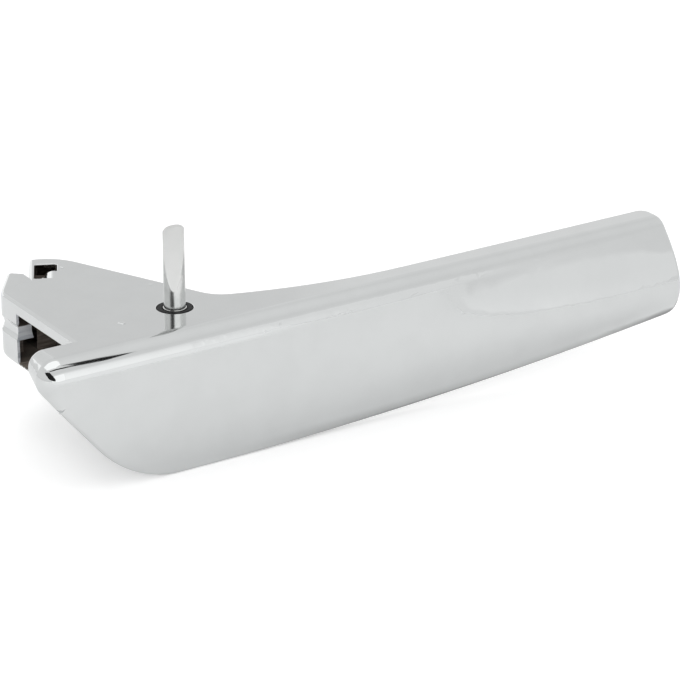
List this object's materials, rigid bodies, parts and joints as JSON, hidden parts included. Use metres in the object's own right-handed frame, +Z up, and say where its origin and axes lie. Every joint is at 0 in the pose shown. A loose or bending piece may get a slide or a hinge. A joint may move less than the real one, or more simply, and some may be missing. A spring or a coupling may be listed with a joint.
{
  "type": "car interior door handle",
  "caption": "Chromed lever that opens a car door from inside: a hooded finger paddle on a flat crank arm, which turns on an upright pin and pulls a release rod.",
  "frame": {"origin": "on the pivot axis, in the plane of the arm's upper face, where the pin's upper seat starts", "axes": "+X along the paddle towards its tip, +Y along the arm towards the release rod, +Z up the pivot pin"},
  "size_m": [0.161, 0.0631, 0.0495],
  "materials": {
    "chrome_plating": "polished bright chrome plating on a zinc casting",
    "pin_steel": "plain turned steel, slightly worn",
    "bush_plastic": "black moulded acetal"
  },
  "bodies": {
    "pivot": {"pivot_pin": "pin_steel"},
    "lever": {"lever_handle": "chrome_plating", "upper_bush": "bush_plastic", "lower_bush": "bush_plastic"}
  },
  "joints": [
    {"name": "lever_pull", "type": "hinge", "parent": "pivot", "child": "lever", "pos_m": [0, 0, 0], "axis": [0, 0, -1], "range_deg": [0, 35]}
  ]
}
